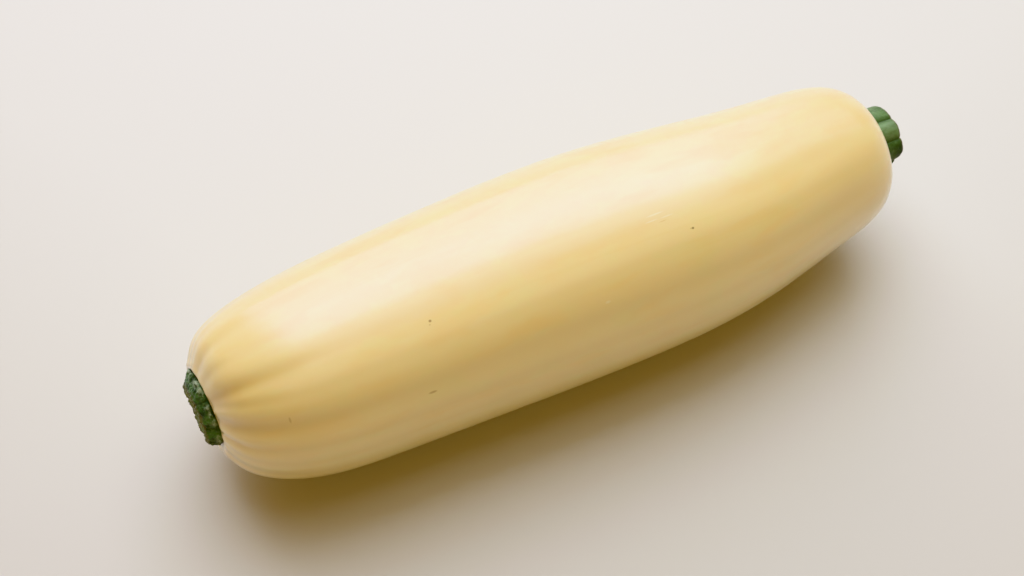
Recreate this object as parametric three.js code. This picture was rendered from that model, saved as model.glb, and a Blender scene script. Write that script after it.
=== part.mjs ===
// Spaghetti squash, long pale-yellow fruit lying on its side, with a short
// cut green stub at each end.
//
// Units are millimetres, +Z is up. +X runs from the stem end to the blossom
// end. The fruit rests on a small flat patch of its belly, which is the plane
// Z = 0. The origin is at the bottom centre of the whole object's box.
//
// Three natural pieces:
//   squash_fruit   the whole fruit, one solid
//   stem_stub      the cut peduncle, seated in a shallow dimple at the -X end
//   blossom_stub   the lobed green stub at the +X end, seated the same way

import * as THREE from 'three';

// ---------------------------------------------------------------- dimensions

// Meridian of the fruit: [distance along the axis from its middle, radius
// square to the axis, sideways drift of the axis]. The first and last stations
// are the floors of the dimples that seat the stubs.
const MERIDIAN = [
  [-141.50, 0.0, 1.23], [-141.50, 8.0, 1.23], [-141.55, 13.6, 1.22],
  [-141.75, 15.1, 1.20], [-142.45, 15.9, 1.16], [-142.35, 17.3, 1.06],
  [-141.20, 20.3, 0.93], [-138.56, 24.78, 0.52], [-135.53, 27.91, 0.06],
  [-131.65, 30.52, -0.45], [-126.97, 32.74, -0.94], [-121.5, 34.64, -1.36],
  [-115.28, 36.25, -1.67], [-108.36, 37.58, -1.82], [-100.76, 38.62, -1.83],
  [-92.55, 39.41, -1.71], [-83.76, 39.99, -1.51], [-74.46, 40.50, -1.30],
  [-64.69, 40.99, -1.08], [-54.53, 41.46, -0.89], [-44.03, 41.92, -0.72],
  [-33.27, 42.38, -0.61], [-22.29, 42.80, -0.56], [-11.18, 43.12, -0.59],
  [0.00, 43.30, -0.69], [11.18, 43.30, -0.86], [22.29, 43.08, -1.08],
  [33.27, 42.65, -1.36], [44.03, 42.00, -1.63], [54.53, 41.13, -1.81],
  [64.69, 40.08, -1.83], [74.46, 38.88, -1.62], [83.76, 37.61, -1.15],
  [92.55, 36.33, -0.44], [100.76, 35.10, 0.38], [108.36, 33.95, 1.14],
  [115.28, 32.88, 1.74], [121.50, 31.77, 2.14], [126.97, 30.40, 2.32],
  [131.65, 28.55, 2.32], [135.53, 26.11, 2.19], [138.56, 22.98, 2.00],
  [140.75, 18.97, 1.81], [141.80, 16.3, 2.20], [141.85, 15.1, 2.60],
  [141.30, 14.2, 2.95], [141.10, 13.1, 3.05], [141.10, 7.5, 3.10],
  [141.10, 0.0, 3.10],
];

const AXIS_HEIGHT = 41.7;        // fruit axis above the surface it lies on
const AROUND = 60;               // facets round the fruit

const RIDGES = 10;               // low ribs along the fruit
const GROOVE_AT = 112;           // degrees, one groove between two ribs
const RIB_DEPTH_MIDDLE = 0.007;  // rib depth as a share of the radius
const RIB_DEPTH_STEM = 0.030;    // pleats are deeper by the stem
const PLEAT_REACH = 26;          // how far the pleats run from the stem end

// The stem-end face isn't square to the axis. It leans in two directions: LEAN_A
// fades out close to the stem, LEAN_B runs further into the fruit.
const LEAN_A = [-0.071, -0.040];
const LEAN_A_FADE = [15.5, 19.5];   // radii over which it fades
const LEAN_B = [-0.059, 0.104];
const LEAN_B_FADE = [16, 37];

const SEAT_GAP = 0.35;           // gap between a stub's base and its dimple

// A stub: base plane, length, radius, centre, outline along its length, depth of
// the dished cut face, size of its lobes, and the angles of the valleys between
// them. leanBase and leanCut are the slopes of its base and of its cut face.
const STEM = {
  base: -141.50 - SEAT_GAP, length: 5.0, radius: 14.3, centreY: 1.2, centreZ: 0.0,
  profile: [[0.00, 0.94], [0.10, 0.98], [0.22, 1.02], [0.45, 0.995], [0.72, 0.96], [0.90, 0.93], [1.00, 0.87]],
  dish: 0.7, lobes: 0.045,
  leanBase: [-0.130, 0.064], leanCut: [-0.071, 0.097],
  valleys: [-70, -31, 12, 62, 109, 153, 205, 248],
};
const BLOSSOM = {
  base: 141.10 + SEAT_GAP, length: 7.9, radius: 13.3, centreY: 3.2, centreZ: 1.1,
  profile: [[0.00, 0.92], [0.07, 0.95], [0.20, 0.985], [0.45, 0.985], [0.70, 0.975], [0.90, 0.965], [1.00, 0.90]],
  dish: 1.1, lobes: 0.06,
  leanBase: [0, 0], leanCut: [-0.10, 0.19],
  valleys: [-62, -22, 30, 83, 120, 165, 212, 256],
};
const STUB_AROUND = 40;

// Shift that puts the origin at the bottom centre of the object's box.
const SHIFT_X = -1.774;
const SHIFT_Y = 0.777;

// ------------------------------------------------------------------ helpers

const rad = Math.PI / 180;

function smooth(a, b, v) {
  const t = Math.min(1, Math.max(0, (v - a) / (b - a)));
  return t * t * (3 - 2 * t);
}

// A closed skin from rings that all have the same number of points. The first
// and last entries are single pole points.
function skin(rings) {
  const pos = [];
  const idx = [];
  const start = [];
  for (const ring of rings) {
    start.push(pos.length / 3);
    for (const p of ring) pos.push(p[0], p[1], p[2]);
  }
  for (let i = 0; i + 1 < rings.length; i++) {
    const a = rings[i], b = rings[i + 1], sa = start[i], sb = start[i + 1];
    const n = Math.max(a.length, b.length);
    for (let j = 0; j < n; j++) {
      const k = (j + 1) % n;
      if (a.length === 1) idx.push(sa, sb + k, sb + j);
      else if (b.length === 1) idx.push(sa + j, sa + k, sb);
      else idx.push(sa + j, sa + k, sb + k, sa + j, sb + k, sb + j);
    }
  }
  const g = new THREE.BufferGeometry();
  g.setAttribute('position', new THREE.BufferAttribute(new Float32Array(pos), 3));
  g.setIndex(idx);
  g.computeVertexNormals();
  return g;
}

// Shift along the axis that leans a face by the two slopes s.
function lean(s, y, z) {
  return s[0] * y + s[1] * z;
}

// Shape of one rib: 0 on the crown, -1 in the groove, the groove narrower than
// the crown.
function rib(deg) {
  const t = Math.abs(Math.cos((deg - GROOVE_AT) * RIDGES * 0.5 * rad));
  return -Math.pow(t, 2.2);
}

// ---------------------------------------------------------------- the fruit

function fruit() {
  const rings = [];
  const end = MERIDIAN.length - 1;
  MERIDIAN.forEach(([x, r, yc], i) => {
    const fromStem = x + 142.5;
    const fromBlossom = 142.5 - x;
    const wa = x < 0 ? 1 - smooth(LEAN_A_FADE[0], LEAN_A_FADE[1], r) : 0;
    const wb = x < 0 ? 1 - smooth(LEAN_B_FADE[0], LEAN_B_FADE[1], r) : 0;
    const point = (deg) => {
      const ramp = Math.min(1, Math.max(0, (r - 15.5) / 6));
      const fade = Math.min(1, fromBlossom / 40);
      const depth = ramp * (RIB_DEPTH_MIDDLE * fade + RIB_DEPTH_STEM * Math.exp(-fromStem / PLEAT_REACH));
      const rr = r * (1 + depth * rib(deg));
      const y = rr * Math.cos(deg * rad);
      const z = rr * Math.sin(deg * rad);
      const xx = x + wa * lean(LEAN_A, y, z) + wb * lean(LEAN_B, y, z);
      return [xx + SHIFT_X, yc + y + SHIFT_Y, Math.max(z, -AXIS_HEIGHT) + AXIS_HEIGHT];
    };
    if (i === 0 || i === end) {
      rings.push([point(0)]);
      return;
    }
    const ring = [];
    for (let k = 0; k < AROUND; k++) ring.push(point((k * 360) / AROUND));
    rings.push(ring);
  });
  return skin(rings);
}

// ---------------------------------------------------------------- the stubs

// Lobed outline: 0 in a valley between two lobes, 1 on the crown of a lobe.
function lobe(deg, valleys) {
  const n = valleys.length;
  for (let i = 0; i < n; i++) {
    const a = valleys[i];
    const b = i + 1 < n ? valleys[i + 1] : valleys[0] + 360;
    for (const d of [deg - 360, deg, deg + 360]) {
      if (d >= a && d < b) return Math.pow(Math.sin((Math.PI * (d - a)) / (b - a)), 0.7);
    }
  }
  return 1;
}

function stub(s, dir) {
  const rings = [];
  const at = (a, rho, deg, lobes) => {
    const r = s.radius * rho * (1 + s.lobes * lobes * (lobe(deg, s.valleys) - 0.7));
    const y = r * Math.cos(deg * rad);
    const z = r * Math.sin(deg * rad);
    const x = s.base + dir * s.length * a
      + (1 - a) * lean(s.leanBase, y, z) + a * lean(s.leanCut, y, z);
    return [x + SHIFT_X, s.centreY + y + SHIFT_Y, s.centreZ + z + AXIS_HEIGHT];
  };
  const ring = (a, rho, lobes) => {
    const out = [];
    for (let k = 0; k < STUB_AROUND; k++) out.push(at(a, rho, (k * 360) / STUB_AROUND, lobes));
    return out;
  };
  rings.push([at(0, 0, 0, 0)]);
  rings.push(ring(0, 0.5, 0));
  s.profile.forEach(([a, rho]) => rings.push(ring(a, rho, Math.min(1, a * 4))));
  const sunk = 1 - s.dish / s.length;
  rings.push(ring(1 - 0.35 * (1 - sunk), 0.80, 1));
  rings.push(ring(sunk, 0.45, 0.4));
  rings.push([at(sunk, 0, 0, 0)]);
  if (dir < 0) rings.reverse();
  return skin(rings);
}

// ------------------------------------------------------------------ assembly

const rind = new THREE.MeshStandardMaterial({ color: 0xecd9a0, roughness: 0.32, metalness: 0 });
const stemGreen = new THREE.MeshStandardMaterial({ color: 0x4f6b33, roughness: 0.75, metalness: 0 });
const blossomGreen = new THREE.MeshStandardMaterial({ color: 0x5d7f45, roughness: 0.6, metalness: 0 });

function piece(name, geometry, material) {
  const mesh = new THREE.Mesh(geometry, material);
  mesh.name = name;
  return mesh;
}

const squash = new THREE.Group();
squash.add(piece('squash_fruit', fruit(), rind));
squash.add(piece('stem_stub', stub(STEM, -1), stemGreen));
squash.add(piece('blossom_stub', stub(BLOSSOM, 1), blossomGreen));

export default squash;
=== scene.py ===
import math
import bpy
import numpy as np
from mathutils import Matrix, Vector
from mathutils import noise as mnoise


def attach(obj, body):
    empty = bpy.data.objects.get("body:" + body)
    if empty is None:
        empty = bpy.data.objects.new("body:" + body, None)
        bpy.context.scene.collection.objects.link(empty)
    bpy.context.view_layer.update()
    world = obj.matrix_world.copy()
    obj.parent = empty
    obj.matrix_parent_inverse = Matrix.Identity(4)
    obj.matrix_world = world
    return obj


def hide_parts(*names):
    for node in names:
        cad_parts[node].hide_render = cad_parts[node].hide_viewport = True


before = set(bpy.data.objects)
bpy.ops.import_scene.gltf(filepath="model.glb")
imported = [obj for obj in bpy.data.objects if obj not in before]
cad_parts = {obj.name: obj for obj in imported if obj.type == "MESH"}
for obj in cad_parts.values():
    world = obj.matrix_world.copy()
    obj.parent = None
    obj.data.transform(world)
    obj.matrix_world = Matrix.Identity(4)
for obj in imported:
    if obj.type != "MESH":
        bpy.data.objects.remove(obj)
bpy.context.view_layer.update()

MM = 0.001
RAD = math.pi / 180

# ---------------------------------------------------------------- the shape
# The same meridian as the CAD fruit: station along the axis, radius, sideways
# drift, in millimetres. The end stations close under the stubs.
MERIDIAN = [
    (-141.50, 0.0, 1.23), (-141.50, 8.0, 1.23), (-141.55, 12.6, 1.22),
    (-141.95, 14.2, 1.20), (-142.55, 15.4, 1.16), (-142.45, 17.1, 1.06),
    (-141.20, 20.3, 0.93), (-138.56, 24.78, 0.52), (-135.53, 27.91, 0.06),
    (-131.65, 30.52, -0.45), (-126.97, 32.74, -0.94), (-121.5, 34.64, -1.36),
    (-115.28, 36.25, -1.67), (-108.36, 37.58, -1.82), (-100.76, 38.62, -1.83),
    (-92.55, 39.41, -1.71), (-83.76, 39.99, -1.51), (-74.46, 40.50, -1.30),
    (-64.69, 40.99, -1.08), (-54.53, 41.46, -0.89), (-44.03, 41.92, -0.72),
    (-33.27, 42.38, -0.61), (-22.29, 42.80, -0.56), (-11.18, 43.12, -0.59),
    (0.00, 43.30, -0.69), (11.18, 43.30, -0.86), (22.29, 43.08, -1.08),
    (33.27, 42.65, -1.36), (44.03, 42.00, -1.63), (54.53, 41.13, -1.81),
    (64.69, 40.08, -1.83), (74.46, 38.88, -1.62), (83.76, 37.61, -1.15),
    (92.55, 36.33, -0.44), (100.76, 35.10, 0.38), (108.36, 33.95, 1.14),
    (115.28, 32.88, 1.74), (121.50, 31.77, 2.14), (126.97, 30.40, 2.32),
    (131.65, 28.55, 2.32), (135.53, 26.11, 2.19), (138.56, 22.98, 2.00),
    (140.75, 18.97, 1.81), (141.75, 16.0, 2.20), (141.75, 14.6, 2.60),
    (141.25, 13.4, 2.95), (141.10, 12.0, 3.05), (141.10, 7.5, 3.10),
    (141.10, 0.0, 3.10),
]
AXIS_HEIGHT = 41.7
SHIFT_X, SHIFT_Y = -1.774, 0.777
LEAN_A, LEAN_A_FADE = (-0.040, -0.020), (15.5, 19.5)
LEAN_B, LEAN_B_FADE = (-0.059, 0.104), (16.0, 37.0)

# Grooves along the fruit: angle round the axis in degrees, depth by the stem
# in mm, how far the pleat runs, depth along the middle, half-width in degrees,
# turn of the groove towards the stem in degrees, and how much colour it holds.
# That colour is a deeper ochre, part the rind's own colour and part painted
# shade in the grooves; at 147 degrees it is raised as painted shade along that side.
GROOVES = [
    # angle, stem depth, reach, mid depth, width, turn, colour (part painted shade)
    (4,    0.45, 20, 0.08, 9.0,  0, 0.4),
    (22,   0.25, 12, 0.00, 6.0,  1, 0.2),
    (40,   0.55, 20, 0.08, 7.5,  1, 0.4),
    (57,   0.30, 16, 0.03, 4.5, -2, 0.30),
    (71,   0.50, 20, 0.04, 5.5,  5, 0.40),
    (92,   0.30, 12, 0.00, 4.0,  3, 0.25),
    (111,  1.05, 22, 0.07, 5.5,  5, 1.0),
    (128,  0.60, 12, 0.00, 3.8, -5, 0.70),
    (147,  1.25, 26, 0.08, 7.0, -7, 1.15),
    (163,  0.85, 14, 0.02, 4.0, -6, 0.60),
    (176,  0.35, 15, 0.02, 5.0, -4, 0.3),
    (190,  0.50, 20, 0.06, 7.5, -2, 0.4),
    (208,  0.30, 12, 0.00, 5.5,  1, 0.2),
    (226,  0.50, 20, 0.08, 8.5,  0, 0.4),
    (244,  0.30, 12, 0.00, 5.5,  1, 0.2),
    (262,  0.95, 20, 0.08, 7.5,  0, 0.6),
    (280,  0.45, 12, 0.00, 4.5, -1, 0.2),
    (298,  1.00, 22, 0.09, 7.5,  0, 0.6),
    (316,  0.45, 12, 0.00, 4.5,  1, 0.2),
    (334,  0.70, 24, 0.10, 8.0,  0, 0.5),
    (349,  0.20, 12, 0.00, 5.5,  0, 0.2),
]


def smooth(a, b, v):
    t = np.clip((v - a) / (b - a), 0, 1)
    return t * t * (3 - 2 * t)


def spline(points, n_dense=24):
    """Centripetal Catmull-Rom through the points, as a dense polyline."""
    P = np.array(points, float)
    P = np.vstack([2 * P[0] - P[1], P, 2 * P[-1] - P[-2]])
    out = []
    for i in range(1, len(P) - 2):
        p0, p1, p2, p3 = P[i - 1:i + 3]
        t0 = 0.0
        t1 = t0 + max(np.linalg.norm(p1 - p0), 1e-6) ** 0.5
        t2 = t1 + max(np.linalg.norm(p2 - p1), 1e-6) ** 0.5
        t3 = t2 + max(np.linalg.norm(p3 - p2), 1e-6) ** 0.5
        t = np.linspace(t1, t2, n_dense, endpoint=False)[:, None]
        a1 = (t1 - t) / (t1 - t0) * p0 + (t - t0) / (t1 - t0) * p1
        a2 = (t2 - t) / (t2 - t1) * p1 + (t - t1) / (t2 - t1) * p2
        a3 = (t3 - t) / (t3 - t2) * p2 + (t - t2) / (t3 - t2) * p3
        b1 = (t2 - t) / (t2 - t0) * a1 + (t - t0) / (t2 - t0) * a2
        b2 = (t3 - t) / (t3 - t1) * a2 + (t - t1) / (t3 - t1) * a3
        out.append((t2 - t) / (t2 - t1) * b1 + (t - t1) / (t2 - t1) * b2)
    out.append(P[-2][None])
    return np.vstack(out)


def stations(n):
    """n stations (x, r, drift) along the meridian, closer together by the stem."""
    d = spline(MERIDIAN)
    seg = np.linalg.norm(np.diff(d[:, :2], axis=0), axis=1)
    s = np.concatenate([[0], np.cumsum(seg)])
    mid = (d[1:, 0] + d[:-1, 0]) / 2
    rr = (d[1:, 1] + d[:-1, 1]) / 2
    w = 1 + 1.6 * np.exp(-(mid + 142) / 28) + 0.9 * np.exp(-(142 - mid) / 12)
    w = np.where((rr < 12), 0.35, w)
    c = np.concatenate([[0], np.cumsum(seg * w)])
    q = np.interp(np.linspace(0, c[-1], n), c, s)
    return np.stack([np.interp(q, s, d[:, k]) for k in range(3)], 1)


def angdiff(a, b):
    return (a - b + 180) % 360 - 180


def groove_field(x, deg):
    """Depth of all grooves in mm (positive inwards) and their colour weight, a deeper ochre that is part rind colour
    and part painted shade.
    """
    from_stem = x + 142.5
    from_end = 142.5 - x
    depth = np.zeros(np.broadcast(x, deg).shape)
    colour = np.zeros_like(depth)
    for a, ds, reach, dm, w, turn, col in GROOVES:
        ang = a + turn * np.exp(-from_stem / 22)
        width = w * (1 + 0.25 * np.exp(-from_stem / 12))
        g = np.exp(-(angdiff(deg, ang) / width) ** 2)
        stem = np.exp(-(np.maximum(from_stem - 4, 0) / reach) ** 1.2)
        end = smooth(2, 45, from_end)
        depth += g * (ds * stem + dm * end)
        gc = np.exp(-(angdiff(deg, ang) / (width * 0.8)) ** 2)
        colour += gc * col * (0.8 * np.exp(-from_stem / (reach * 1.8)) + 0.25 * end)
    return depth, colour


def fractal(points, scale, octaves=3, seed=0.0):
    off = Vector((seed, seed * 1.7, -seed * 0.6))
    return np.array([mnoise.fractal(Vector(p) * scale + off, 0.9, 2.0, octaves) for p in points])


def grid_mesh(name, P, cols, smooth_shade=True):
    """A closed mesh from rings P[n][cols], with one pole vertex at each end."""
    n = len(P)
    verts = [P[0].mean(0)] + [None]
    body = P[1:-1].reshape(-1, 3)
    verts = np.vstack([P[0].mean(0)[None], body, P[-1].mean(0)[None]])
    m = n - 2
    i = np.arange(m - 1)[:, None]
    j = np.arange(cols)[None]
    a = 1 + i * cols + j
    b = 1 + i * cols + (j + 1) % cols
    quads = np.stack([a, b, b + cols, a + cols], -1).reshape(-1, 4)
    jj = np.arange(cols)
    first = np.stack([np.zeros(cols, int), 1 + (jj + 1) % cols, 1 + jj], 1)
    last0 = 1 + (m - 1) * cols
    top = len(verts) - 1
    last = np.stack([np.full(cols, top), last0 + jj, last0 + (jj + 1) % cols], 1)
    me = bpy.data.meshes.new(name)
    me.vertices.add(len(verts))
    me.vertices.foreach_set("co", verts.astype(np.float32).ravel())
    nl = len(quads) * 4 + len(first) * 3 + len(last) * 3
    me.loops.add(nl)
    me.loops.foreach_set("vertex_index", np.concatenate([quads.ravel(), first.ravel(), last.ravel()]).astype(np.int32))
    counts = np.concatenate([np.full(len(quads), 4), np.full(len(first) + len(last), 3)])
    start = np.concatenate([[0], np.cumsum(counts)[:-1]])
    me.polygons.add(len(counts))
    me.polygons.foreach_set("loop_start", start.astype(np.int32))
    me.update(calc_edges=True)
    me.validate()
    me.polygons.foreach_set("use_smooth", np.full(len(me.polygons), smooth_shade))
    ob = bpy.data.objects.new(name, me)
    bpy.context.scene.collection.objects.link(ob)
    return ob, verts


def attr(ob, name, values, kind="FLOAT"):
    a = ob.data.attributes.new(name, kind, "POINT")
    values = np.asarray(values, np.float32)
    a.data.foreach_set("vector" if kind == "FLOAT_VECTOR" else "value", values.ravel())


# ---------------------------------------------------------------- the fruit
AROUND, ALONG = 256, 336


def make_fruit():
    st = stations(ALONG)
    x = st[:, 0][:, None]
    r = st[:, 1][:, None]
    yc = st[:, 2][:, None]
    deg = (np.arange(AROUND) * 360.0 / AROUND)[None]
    th = deg * RAD
    c, s = np.cos(th), np.sin(th)
    ramp = smooth(15.4, 17.2, r) * (0.65 + 0.35 * smooth(17.0, 25.0, r))
    depth, colour = groove_field(x, deg)
    # low broad swells along the fruit, so that its faces aren't a lathe's
    P = np.stack([(x + 0 * c).ravel() * 0.016, (c + 0 * x).ravel() * 0.9, (s + 0 * x).ravel() * 0.9], 1)
    swell = fractal(P, 1.0, 2, 3.1).reshape(len(st), AROUND)
    fine = fractal(P * np.array([2.6, 2.4, 2.4]), 1.0, 3, 9.4).reshape(len(st), AROUND)
    crowns = 0.05 * np.cos(10 * (deg - 129) * RAD) * smooth(4, 60, 142.5 - x)
    end_fade = smooth(14.8, 34.0, r)
    # everything is pushed along the outward normal of the meridian
    dx, dr = np.gradient(st[:, 0]), np.gradient(st[:, 1])
    ln = np.hypot(dx, dr) + 1e-9
    nx, nr = (-dr / ln)[:, None], (dx / ln)[:, None]
    lip = 0.45 * smooth(15.2, 17.5, r) * smooth(34.0, 20.0, r) * (x < 0)
    push = -ramp * depth + end_fade * (0.20 * swell + 0.035 * fine + crowns) + ramp * 0.20 + lip
    rr = r + nr * push
    xs = x + nx * push
    y = rr * c
    z = rr * s
    wa = np.where(x < 0, 1 - smooth(*LEAN_A_FADE, r), 0)
    wb = np.where(x < 0, 1 - smooth(*LEAN_B_FADE, r), 0)
    xx = xs + wa * (LEAN_A[0] * y + LEAN_A[1] * z) + wb * (LEAN_B[0] * y + LEAN_B[1] * z)
    # the belly is flat where it rests, with a soft edge
    k = 1.2
    zf = -AXIS_HEIGHT
    h = np.clip(0.5 + 0.5 * (z - zf) / k, 0, 1)
    zz = np.where(z - zf > k, z, np.where(z - zf < -k, zf, h * z + (1 - h) * zf + k * h * (1 - h)))
    X = np.stack([xx + SHIFT_X, yc + y + SHIFT_Y, zz + AXIS_HEIGHT], -1) * MM
    X[..., 2] = np.maximum(X[..., 2], 0.0)
    ob, verts = grid_mesh("squash_rind", X, AROUND)
    full = lambda f: np.concatenate([[f[0].mean()], f[1:-1].ravel(), [f[-1].mean()]])
    one = np.ones_like(rr)
    dirs = np.stack([full(c * one), full(s * one), full(x * one / 43.0)], 1)
    attr(ob, "rind_dir", dirs, "FLOAT_VECTOR")
    # colour weight of the grooves: part rind colour, part painted shade
    attr(ob, "groove_tint_and_shade", full(np.clip(colour, 0, 1.4) * ramp))
    attr(ob, "depth", full(depth * ramp))
    attr(ob, "from_stem", full((x + 142.5) * one))
    attr(ob, "radius", full(r * one))
    return ob


# ---------------------------------------------------------------- the stubs
# tone: each lobe's lightness, set by how that lobe is lit, so lit lobes are lighter and shaded lobes darker: painted
# light and shade
STEM = dict(
    base=-141.85, length=4.9, radius=14.5, cy=1.2, cz=0.0, dir=-1,
    lean_base=(-0.099, 0.084), lean_cut=(-0.057, 0.033), taper=(0.07, 0.22),
    profile=[(-0.06, 0.0), (-0.06, 0.5), (-0.05, 0.93), (0.03, 0.975), (0.10, 0.99), (0.20, 1.02), (0.32, 1.03), (0.46, 1.005),
             (0.62, 0.99), (0.78, 0.985), (0.90, 0.965), (0.98, 0.92), (1.01, 0.86), (0.99, 0.79), (0.95, 0.70),
             (0.90, 0.48), (0.87, 0.22), (0.87, 0.0)],
    valleys=[-70, -31, 8, 66, 112, 158, 205, 248], lobes=0.085, power=0.60,
    size=[0.0, 0.3, -0.3, 0.5, -0.6, 0.4, -0.2, 0.2], tone=[0.5, 0.5, 0.6, 0.62, 0.25, 0.45, 0.2, 0.5],
)
BLOSSOM = dict(
    base=141.45, length=7.9, radius=13.1, cy=3.8, cz=1.5, dir=1,
    lean_base=(0, 0), lean_cut=(-0.10, 0.19), taper=(0.0, 0.0),
    profile=[(-0.05, 0.0), (-0.05, 0.5), (-0.05, 0.92), (0.03, 0.955), (0.12, 0.975), (0.22, 0.99), (0.36, 0.985), (0.55, 0.98),
             (0.74, 0.975), (0.88, 0.965), (0.95, 0.945), (1.0, 0.905), (0.995, 0.86), (0.96, 0.80), (0.91, 0.70),
             (0.87, 0.48), (0.85, 0.22), (0.85, 0.0)],
    valleys=[-62, -18, 34, 96, 139, 187, 226, 262], lobes=0.11, power=0.62,
    size=[0.0, 0.4, -0.1, -0.2, 0.75, -0.2, 0.2, 0.0], tone=[0.5, 0.5, 0.50, 0.80, 0.0, 0.3, 0.5, 0.5],
)


def lobe_field(deg, valleys, power):
    v = np.array(sorted(valleys) + [min(valleys) + 360.0])
    d = (deg - v[0]) % 360 + v[0]
    i = np.clip(np.searchsorted(v, d, side="right") - 1, 0, len(v) - 2)
    t = (d - v[i]) / (v[i + 1] - v[i])
    return np.sin(np.pi * np.clip(t, 0, 1)) ** power, i


def make_stub(name, S, around, along, rough, seed):
    prof = spline([(a * S["length"], rho * S["radius"], 0) for a, rho in S["profile"]], 30)[:, :2]
    seg = np.linalg.norm(np.diff(prof, axis=0), axis=1)
    s = np.concatenate([[0], np.cumsum(seg)])
    w = np.where((prof[1:, 0] < 0.0), 0.3, 1.0)
    cum = np.concatenate([[0], np.cumsum(seg * w)])
    q = np.interp(np.linspace(0, cum[-1], along), cum, s)
    a = np.interp(q, s, prof[:, 0])[:, None]
    rad_ = np.maximum(np.interp(q, s, prof[:, 1]), 0)[:, None]
    # outward normal of the outline, for the rough skin
    da, dr = np.gradient(a[:, 0]), np.gradient(rad_[:, 0])
    ln = np.hypot(da, dr) + 1e-9
    na, nr = (-dr / ln)[:, None], (da / ln)[:, None]
    deg = (np.arange(around) * 360.0 / around)[None]
    th = deg * RAD
    lob, which = lobe_field(deg + 0 * a, S["valleys"], S["power"])
    frac = a / S["length"]
    rho = rad_ / S["radius"]
    order = np.argsort(S["valleys"])
    each = np.array(S["size"])[order]
    tone = np.array(S["tone"])[order]
    side = smooth(-0.02, 0.25, frac)
    wl = side * smooth(0.25, 0.8, rho)
    rr = rad_ * (1 + S["lobes"] * wl * (lob * (1 + 0.45 * each[which]) - 0.7))
    f2 = np.clip(frac, 0, 1) ** 2
    rr = rr * (1 - f2 * (S["taper"][0] + S["taper"][1] * (0.5 + 0.5 * np.cos(th - 29.5 * RAD))))
    ax = a * (1 + 0.07 * each[which] * lob * wl)
    c, sn = np.cos(th), np.sin(th)
    pts = np.stack([ax + 0 * th, rr * c, rr * sn], -1)
    flat = pts.reshape(-1, 3)
    big = fractal(flat, 0.32, 3, seed * 1.3).reshape(pts.shape[:2])
    mid = fractal(flat, 0.9, 3, seed * 2.1 + 4).reshape(pts.shape[:2])
    fin = fractal(flat, 2.4, 2, seed * 0.7 + 9).reshape(pts.shape[:2])
    amp = side * smooth(0.05, 0.5, rho)
    disp = amp * (rough[0] * big + rough[1] * mid + rough[2] * fin)
    ax = ax + na * disp
    rr = rr + nr * disp
    y, z = rr * c, rr * sn
    f = np.clip(frac, 0, 1)
    lean = (1 - f) * (S["lean_base"][0] * y + S["lean_base"][1] * z) + f * (S["lean_cut"][0] * y + S["lean_cut"][1] * z)
    X = np.stack([S["base"] + S["dir"] * ax + lean + SHIFT_X, S["cy"] + y + SHIFT_Y, S["cz"] + z + AXIS_HEIGHT], -1) * MM
    if S["dir"] < 0:
        X = X[::-1]
        flip = lambda v: v[::-1]
    else:
        flip = lambda v: v
    ob, verts = grid_mesh(name, X, around)
    full = lambda v: np.concatenate([[v[0].mean()], v[1:-1].ravel(), [v[-1].mean()]])
    one = np.ones_like(rr)
    attr(ob, "along", full(flip(frac * one)))
    attr(ob, "rho", full(flip(rho * one)))
    attr(ob, "lobe", full(flip(lob * one)))
    attr(ob, "bumps", full(flip(disp * one)))
    # lobe lightness from tone, 0.4 in the valleys: painted light and shade per lobe
    lobe_light_and_shade_field = tone[which] * np.clip(lob * 1.4, 0, 1) + 0.4 * (1 - np.clip(lob * 1.4, 0, 1))
    attr(ob, "tone", full(flip(lobe_light_and_shade_field * one)))
    attr(ob, "local", np.stack([full(flip(a * one)), full(flip(y * one)), full(flip(z * one))], 1), "FLOAT_VECTOR")
    return ob


# ---------------------------------------------------------------- materials
def lin(r, g, b):
    f = lambda v: ((v / 255 + 0.055) / 1.055) ** 2.4 if v / 255 > 0.04045 else v / 255 / 12.92
    return (f(r), f(g), f(b), 1)


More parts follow.
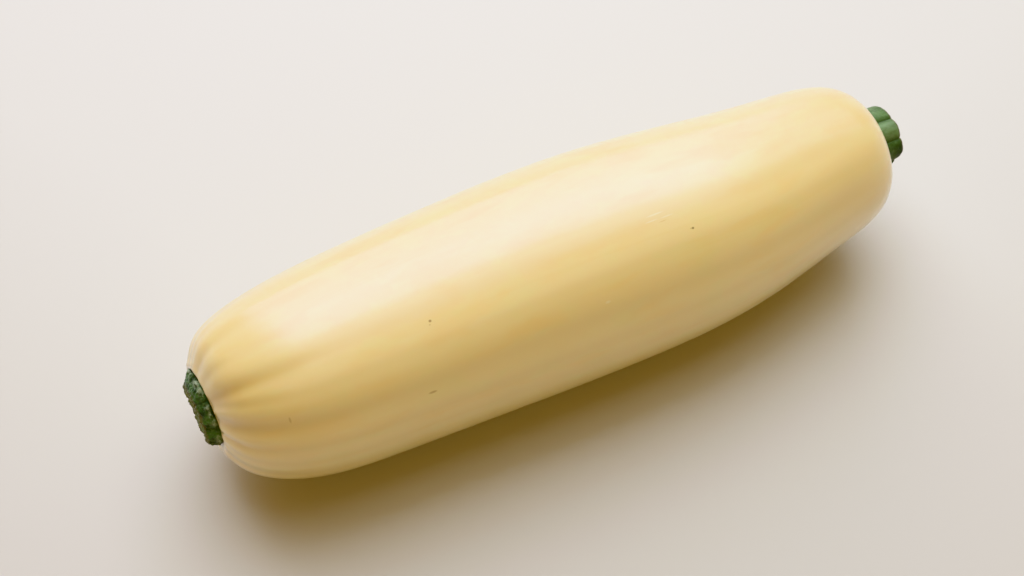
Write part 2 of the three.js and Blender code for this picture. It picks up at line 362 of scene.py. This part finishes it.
class Nodes:
    """A small helper for building a node tree."""

    def __init__(self, mat):
        mat.use_nodes = True
        self.t = mat.node_tree
        self.t.nodes.clear()
        self.out = self.t.nodes.new("ShaderNodeOutputMaterial")
        self.bsdf = self.t.nodes.new("ShaderNodeBsdfPrincipled")
        self.t.links.new(self.bsdf.outputs[0], self.out.inputs[0])

    def n(self, kind, **kw):
        node = self.t.nodes.new(kind)
        for k, v in kw.items():
            setattr(node, k, v)
        return node

    def link(self, a, b):
        self.t.links.new(a, b)

    def put(self, socket, value):
        if isinstance(value, bpy.types.NodeSocket):
            self.link(value, socket)
        else:
            socket.default_value = value

    def attr(self, name, out="Fac"):
        a = self.n("ShaderNodeAttribute", attribute_name=name)
        return a.outputs[out]

    def math(self, op, a, b=None, c=None, clamp=False):
        m = self.n("ShaderNodeMath", operation=op, use_clamp=clamp)
        self.put(m.inputs[0], a)
        if b is not None:
            self.put(m.inputs[1], b)
        if c is not None:
            self.put(m.inputs[2], c)
        return m.outputs[0]

    def vmath(self, op, a, b=None, out=0):
        m = self.n("ShaderNodeVectorMath", operation=op)
        self.put(m.inputs[0], a)
        if b is not None:
            self.put(m.inputs[1], b)
        return m.outputs[out]

    def noise(self, vec, scale, detail=3.0, rough=0.5, out="Fac", dist=0.0):
        m = self.n("ShaderNodeTexNoise")
        self.put(m.inputs["Vector"], vec)
        m.inputs["Scale"].default_value = scale
        m.inputs["Detail"].default_value = detail
        m.inputs["Roughness"].default_value = rough
        m.inputs["Distortion"].default_value = dist
        return m.outputs[out]

    def voronoi(self, vec, scale, feature="F1", out="Distance", rand=1.0):
        m = self.n("ShaderNodeTexVoronoi", feature=feature)
        self.put(m.inputs["Vector"], vec)
        m.inputs["Scale"].default_value = scale
        m.inputs["Randomness"].default_value = rand
        return m.outputs[out]

    def ramp(self, fac, stops, interp="LINEAR"):
        m = self.n("ShaderNodeValToRGB")
        m.color_ramp.interpolation = interp
        els = m.color_ramp.elements
        while len(els) > 1:
            els.remove(els[-1])
        for i, (p, col) in enumerate(stops):
            e = els[0] if i == 0 else els.new(p)
            e.position = p
            e.color = col if len(col) == 4 else (*col, 1)
        self.put(m.inputs[0], fac)
        return m.outputs[0]

    def range(self, v, a, b, c=0.0, d=1.0, smooth_=True):
        m = self.n("ShaderNodeMapRange", interpolation_type="SMOOTHSTEP" if smooth_ else "LINEAR")
        self.put(m.inputs[0], v)
        for i, q in enumerate((a, b, c, d)):
            m.inputs[1 + i].default_value = q
        return m.outputs[0]

    def mix(self, fac, a, b, mode="MIX"):
        m = self.n("ShaderNodeMix", data_type="RGBA", blend_type=mode)
        self.put(m.inputs[0], fac)
        self.put(m.inputs[6], a)
        self.put(m.inputs[7], b)
        return m.outputs[2]

    def scaled(self, vec, sx, sy, sz):
        m = self.n("ShaderNodeMapping")
        self.put(m.inputs[0], vec)
        m.inputs["Scale"].default_value = (sx, sy, sz)
        return m.outputs[0]

    def bump(self, height, strength, distance, normal=None):
        m = self.n("ShaderNodeBump")
        m.inputs["Strength"].default_value = strength
        m.inputs["Distance"].default_value = distance
        self.put(m.inputs["Height"], height)
        if normal is not None:
            self.link(normal, m.inputs["Normal"])
        return m.outputs[0]


# Small marks on the rind: place in metres, size across and along the fruit in
# mm, strength, colour.
MARKS = [
    ((-0.06214, -0.01951, 0.07825), 0.50, 0.55, 0.75, (150, 118, 62)),
    ((-0.06270, -0.02060, 0.07770), 0.30, 0.35, 0.35, (176, 148, 86)),
    ((0.04077, -0.02310, 0.07775), 0.45, 0.50, 0.80, (132, 112, 48)),
    ((0.04010, -0.02300, 0.07780), 0.30, 0.55, 0.40, (176, 154, 84)),
    ((-0.06927, -0.03679, 0.06045), 0.50, 1.60, 0.50, (176, 140, 78)),
    ((-0.11927, -0.02795, 0.06414), 1.30, 0.40, 0.40, (184, 146, 76)),
    ((0.02900, -0.01450, 0.08230), 0.30, 3.60, 0.55, (255, 246, 206)),
    ((0.03230, -0.01640, 0.08130), 0.28, 3.20, 0.50, (255, 246, 206)),
    ((0.02650, -0.01630, 0.08160), 0.28, 2.60, 0.50, (255, 246, 206)),
    ((0.03080, -0.01760, 0.08100), 0.25, 1.80, 0.40, (206, 172, 96)),
    ((0.00120, -0.03400, 0.06900), 0.60, 1.10, 0.45, (255, 248, 214)),
    ((-0.04660, -0.03900, 0.06000), 0.45, 0.90, 0.35, (180, 146, 80)),
    ((-0.03400, 0.02300, 0.07700), 0.50, 0.70, 0.50, (168, 136, 70)),
    ((0.07200, 0.03500, 0.05900), 0.50, 0.60, 0.55, (150, 118, 60)),
    ((-0.01500, 0.04100, 0.04000), 0.60, 2.40, 0.40, (186, 152, 86)),
    ((0.09600, -0.03300, 0.03100), 0.50, 1.40, 0.40, (176, 140, 78)),
]


def rind_material():
    mat = bpy.data.materials.new("rind")
    N = Nodes(mat)
    d = N.attr("rind_dir", "Vector")          # (cos, sin, x over radius)
    groove_tint_and_shade = N.attr("groove_tint_and_shade")
    stem = N.attr("from_stem")
    obj = N.n("ShaderNodeTexCoord").outputs["Object"]
    # long soft blotches, greenish and warm mottles and fine lengthways streaks
    blotch = N.noise(N.scaled(d, 1.0, 1.0, 0.50), 1.7, 2, 0.45)
    green = N.noise(N.scaled(d, 1.0, 1.0, 0.55), 4.3, 3, 0.5, dist=0.35)
    warm = N.noise(N.scaled(d, 1.15, 1.15, 0.38), 3.6, 2, 0.5, dist=0.2)
    streak = N.noise(N.scaled(d, 1.0, 1.0, 0.030), 9.0, 3, 0.5)
    yellow = lin(247, 227, 160)
    col = N.mix(N.math("MULTIPLY", N.range(blotch, 0.35, 0.70), 0.35), yellow, lin(249, 232, 168))
    col = N.mix(N.math("MULTIPLY", N.range(green, 0.46, 0.66), 0.42), col, lin(241, 231, 160))
    col = N.mix(N.math("MULTIPLY", N.range(warm, 0.48, 0.68), 0.40), col, lin(249, 218, 140))
    col = N.mix(N.math("MULTIPLY", N.range(streak, 0.55, 0.75), 0.14), col, lin(240, 210, 122))
    # both ends are a little deeper in colour, all the way round: partly the rind's own colour, partly painted shade at
    # the ends
    near = N.range(stem, 62.0, 5.0)
    col = N.mix(N.math("MULTIPLY", near, 0.26), col, lin(238, 215, 150))
    # deeper ochre in the grooves: part the rind's own colour, part painted shade in the grooves
    col = N.mix(N.math("MULTIPLY", groove_tint_and_shade, 0.62, clamp=True), col, lin(216, 184, 108))
    far = N.range(stem, 205.0, 272.0)
    col = N.mix(N.math("MULTIPLY", far, 0.28), col, lin(236, 211, 146))
    lip = N.math("MULTIPLY", N.range(N.attr("radius"), 17.2, 16.2), N.range(stem, 9.0, 5.0))
    col = N.mix(N.math("MULTIPLY", lip, 0.30), col, lin(242, 228, 180))
    # a dark brown ring where the rind meets the stem stub: painted shadow of the gap at the seam
    col = N.mix(N.math("MULTIPLY", N.range(N.attr("radius"), 16.3, 15.3), N.range(stem, 8.0, 5.0)), col, lin(116, 90, 44))
    # marks: each fades out from its centre, longer along the fruit
    for at, across, along, amount, tint in MARKS:
        off = N.vmath("SUBTRACT", obj, at)
        off = N.vmath("MULTIPLY", off, (1.0 / along, 1.0 / across, 1.0 / across))
        size = N.vmath("LENGTH", off, out=1)
        col = N.mix(N.math("MULTIPLY", N.range(size, 0.0013, 0.0005), amount), col, lin(*tint))
    N.put(N.bsdf.inputs["Base Color"], col)
    rough = N.math("ADD", N.range(N.noise(obj, 60.0, 3), 0.35, 0.65, 0.0, 0.04), 0.285)
    N.put(N.bsdf.inputs["Roughness"], rough)
    N.bsdf.inputs["IOR"].default_value = 1.50
    N.bsdf.inputs["Specular IOR Level"].default_value = 0.70
    N.bsdf.inputs["Coat Weight"].default_value = 1.0
    N.bsdf.inputs["Coat IOR"].default_value = 1.62
    N.bsdf.inputs["Coat Roughness"].default_value = 0.22
    N.bsdf.inputs["Subsurface Weight"].default_value = 0.15
    N.bsdf.inputs["Subsurface Radius"].default_value = (0.007, 0.004, 0.0018)
    N.bsdf.inputs["Subsurface Scale"].default_value = 1.0
    N.put(N.bsdf.inputs["Normal"], N.bump(streak, 0.06, 0.0006))
    return mat


def stub_material(name, tone, band_at, band_amount, painted_seam_shadow, hollow_shade_and_speckles, lively):
    """Green stub skin. tone: dark, mid, light, frost, cut, edge colours; the frost
    colour also serves as painted highlight. A frosty band runs round the stub near
    the rind, partly pale frosty skin and partly a painted highlight on the lobe
    crests; dark patches painted as the shade of hollows lie between its lumps; the
    lobes carry painted light and shade, with dark valleys between them; a dark line
    where the stub meets the rind is painted shadow; and the rim of the cut has
    dried to a brownish edge."""
    dark, mid, light, frost_and_highlight, cut, edge = tone
    mat = bpy.data.materials.new(name)
    N = Nodes(mat)
    p = N.attr("local", "Vector")
    along = N.attr("along")
    rho = N.attr("rho")
    lobe = N.attr("lobe")
    bumps = N.attr("bumps")
    n1 = N.noise(p, 0.22, 3, 0.55)
    n2 = N.noise(p, 0.75, 4, 0.62)
    n3 = N.noise(p, 2.6, 3, 0.6)
    # each lobe's lightness: painted light and shade, lit lobes lighter, shaded lobes darker
    lobe_light_and_shade = N.attr("tone")
    body = N.math("ADD", N.math("MULTIPLY", N.range(n1, 0.36, 0.64), lively), N.math("MULTIPLY", lobe_light_and_shade, 1.0 - lively))
    col = N.mix(body, dark, mid)
    # darker green in the valleys between the lobes: painted shade in the creases
    col = N.mix(N.math("MULTIPLY", N.range(lobe, 0.10, 0.75), 1.0), N.mix(0.25, dark, mid), col)
    col = N.mix(N.math("MULTIPLY", N.range(n2, 0.50, 0.68), 0.60 * lively), col, light)
    col = N.mix(N.math("MULTIPLY", N.range(bumps, 0.05, 0.55), 0.45 * lively), col, light)
    # the lightest lobes take the frost colour: a painted highlight on the lit lobe
    col = N.mix(N.math("MULTIPLY", N.range(lobe_light_and_shade, 0.60, 1.0), 0.55), col, frost_and_highlight)
    # frosty band on the lobe crests near the rind: partly pale frosty skin, partly a painted highlight along the ridge
    centre = N.math("ADD", along, N.math("MULTIPLY", N.math("SUBTRACT", n1, 0.5), 0.5))
    band = N.math("MULTIPLY", N.range(centre, band_at - 0.22, band_at), N.range(centre, band_at + 0.26, band_at + 0.04))
    band = N.math("MULTIPLY", band, N.range(n2, 0.36, 0.60))
    band = N.math("MULTIPLY", band, N.range(lobe, 0.35, 0.85))
    col = N.mix(N.math("MULTIPLY", band, band_amount), col, frost_and_highlight)
    # dark patches painted as the shade of small hollows, and dark speckles
    hole = N.voronoi(N.scaled(p, 1.0, 1.0, 1.0), 0.42)
    painted_hollow_shade = N.math("MULTIPLY", N.range(hole, 0.44, 0.20), N.range(n1, 0.60, 0.46))
    col = N.mix(N.math("MULTIPLY", painted_hollow_shade, hollow_shade_and_speckles), col, dark)
    col = N.mix(N.math("MULTIPLY", N.range(n3, 0.44, 0.30), hollow_shade_and_speckles * 0.6), col, dark)
    # the cut face, its dried rim and the seam against the rind; the dark line at the seam is painted shadow of the gap
    # where the stub meets the rind
    face = N.math("MULTIPLY", N.range(along, 0.80, 0.92), N.range(rho, 0.90, 0.80))
    col = N.mix(face, col, N.mix(N.range(n2, 0.35, 0.65), cut, light))
    rim = N.math("MULTIPLY", N.range(along, 0.86, 0.97), N.range(rho, 0.80, 0.88))
    col = N.mix(N.math("MULTIPLY", rim, 0.65), col, edge)
    col = N.mix(N.math("MULTIPLY", N.range(along, 0.13, 0.02), painted_seam_shadow), col, lin(58, 46, 18))
    N.put(N.bsdf.inputs["Base Color"], col)
    N.put(N.bsdf.inputs["Roughness"], N.range(n2, 0.3, 0.7, 0.42, 0.66))
    N.bsdf.inputs["IOR"].default_value = 1.44
    N.bsdf.inputs["Sheen Weight"].default_value = 0.25
    N.bsdf.inputs["Sheen Roughness"].default_value = 0.5
    h = N.math("ADD", N.math("MULTIPLY", n2, 0.6), N.math("MULTIPLY", n3, 0.4))
    N.put(N.bsdf.inputs["Normal"], N.bump(h, 0.45, 0.0005))
    return mat


# ---------------------------------------------------------------- build
fruit = make_fruit()
fruit.data.materials.append(rind_material())
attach(fruit, "root")
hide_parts("squash_fruit")

stem = make_stub("stem_stub_skin", STEM, 320, 130, (0.62, 0.42, 0.18), 5)
stem.data.materials.append(stub_material("stem_green", (
    lin(26, 54, 20), lin(84, 122, 64), lin(122, 148, 102), lin(174, 188, 156), lin(144, 148, 98), lin(124, 118, 72)), 0.34, 0.75, 0.9, 0.9, 0.75))
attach(stem, "root")
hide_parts("stem_stub")

tip = make_stub("blossom_stub_skin", BLOSSOM, 320, 120, (0.16, 0.07, 0.03), 8)
tip.data.materials.append(stub_material("blossom_green", (
    lin(34, 60, 8), lin(106, 142, 76), lin(122, 152, 98), lin(134, 152, 118), lin(150, 154, 104), lin(128, 120, 84)), 0.45, 0.15, 0.25, 0.08, 0.25))
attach(tip, "root")
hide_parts("blossom_stub")

# ---------------------------------------------------------------- the stage
me = bpy.data.meshes.new("floor")
me.from_pydata([(1.05 * math.cos(k * math.pi / 64), 1.05 * math.sin(k * math.pi / 64), 0) for k in range(128)], [], [tuple(range(128))])
floor = bpy.data.objects.new("floor", me)
bpy.context.scene.collection.objects.link(floor)
fm = bpy.data.materials.new("floor_paint")
FN = Nodes(fm)
FN.bsdf.inputs["Base Color"].default_value = (0.60, 0.588, 0.502, 1)
FN.bsdf.inputs["Roughness"].default_value = 0.6
floor.data.materials.append(fm)


def area(name, at, look, size, power, colour):
    L = bpy.data.lights.new(name, "AREA")
    L.shape = "RECTANGLE"
    L.size, L.size_y = size
    L.energy = power
    L.color = colour
    o = bpy.data.objects.new(name, L)
    bpy.context.scene.collection.objects.link(o)
    o.location = at
    d = Vector(look) - Vector(at)
    o.rotation_euler = d.to_track_quat("-Z", "Y").to_euler()
    return o


def polar(az, el, dist):
    """az degrees from +Y towards +X, el above the horizon."""
    return (dist * math.sin(az * RAD) * math.cos(el * RAD), dist * math.cos(az * RAD) * math.cos(el * RAD), dist * math.sin(el * RAD))


def panel(name, az, el, dist, size, radiance, colour):
    """A soft panel that faces the fruit, given by its brightness."""
    return area(name, polar(az, el, dist), (0, 0, 0.03), size, radiance * math.pi * size[0] * size[1], colour)


def strip(name, phi, radiance, colour):
    """One strip of the window and bright ceiling: phi goes from the horizon
    behind the fruit (0) over the top (90) to the front."""
    at = (0.23, 1.2 * math.cos(phi * RAD), 1.2 * math.sin(phi * RAD))
    size = (1.25, 0.38)
    return area(name, at, (0.23, 0, 0), size, radiance * math.pi * size[0] * size[1], colour)


strip("window_1", 22, 2.95, (1.0, 0.98, 1.10))
strip("window_2", 40, 3.05, (0.90, 0.98, 1.30))
strip("window_3", 58, 4.15, (0.90, 1.00, 1.30))
strip("window_4", 76, 3.9, (0.92, 1.00, 1.24))
strip("window_5", 94, 1.70, (0.96, 1.00, 1.00))
panel("window_right", 68, 42, 1.5, (0.8, 0.9), 0.56, (0.70, 1.0, 1.25))
panel("room_fill", 188, 26, 1.7, (1.8, 0.7), 0.08, (1.0, 0.86, 0.72))
panel("room_fill_high", 190, 55, 1.7, (1.6, 0.6), 0.46, (0.95, 1.0, 0.80))

world = bpy.data.worlds.new("studio")
bpy.context.scene.world = world
world.use_nodes = True
bg = world.node_tree.nodes["Background"]
# warm light from above, pale near the horizon
wt = world.node_tree
sky = wt.nodes.new("ShaderNodeTexCoord")
split = wt.nodes.new("ShaderNodeSeparateXYZ")
fade = wt.nodes.new("ShaderNodeMapRange")
fade.interpolation_type = "SMOOTHSTEP"
fade.inputs[1].default_value = 0.06
fade.inputs[2].default_value = 0.26
blend = wt.nodes.new("ShaderNodeMix")
blend.data_type = "RGBA"
blend.inputs[6].default_value = (0.50, 0.475, 0.44, 1)
blend.inputs[7].default_value = (0.31, 0.165, 0.030, 1)
wt.links.new(sky.outputs["Generated"], split.inputs[0])
wt.links.new(split.outputs[2], fade.inputs[0])
wt.links.new(fade.outputs[0], blend.inputs[0])
wt.links.new(blend.outputs[2], bg.inputs[0])
bg.inputs[1].default_value = 1.0

bpy.context.scene.view_settings.view_transform = "Khronos PBR Neutral"
bpy.context.scene.view_settings.look = "None"
bpy.context.scene.view_settings.exposure = 0.0

# ---------------------------------------------------------------- the camera
right = Vector((0.90806062, -0.41883875, 0.0))
up = Vector((0.35519541, 0.77007908, 0.52991926))
back = right.cross(up)
cam_data = bpy.data.cameras.new("camera")
cam_data.lens = 50.0
cam_data.sensor_width = 36.0
cam_data.clip_start = 0.01
cam_data.clip_end = 50
cam = bpy.data.objects.new("camera", cam_data)
bpy.context.scene.collection.objects.link(cam)
M = Matrix.Identity(4)
for i, v in enumerate((right, up, back)):
    for k in range(3):
        M[k][i] = v[k]
M.translation = Vector((-140.830 + SHIFT_X, -263.383 + SHIFT_Y, 465.590 + AXIS_HEIGHT)) * MM
cam.matrix_world = M
bpy.context.scene.camera = cam
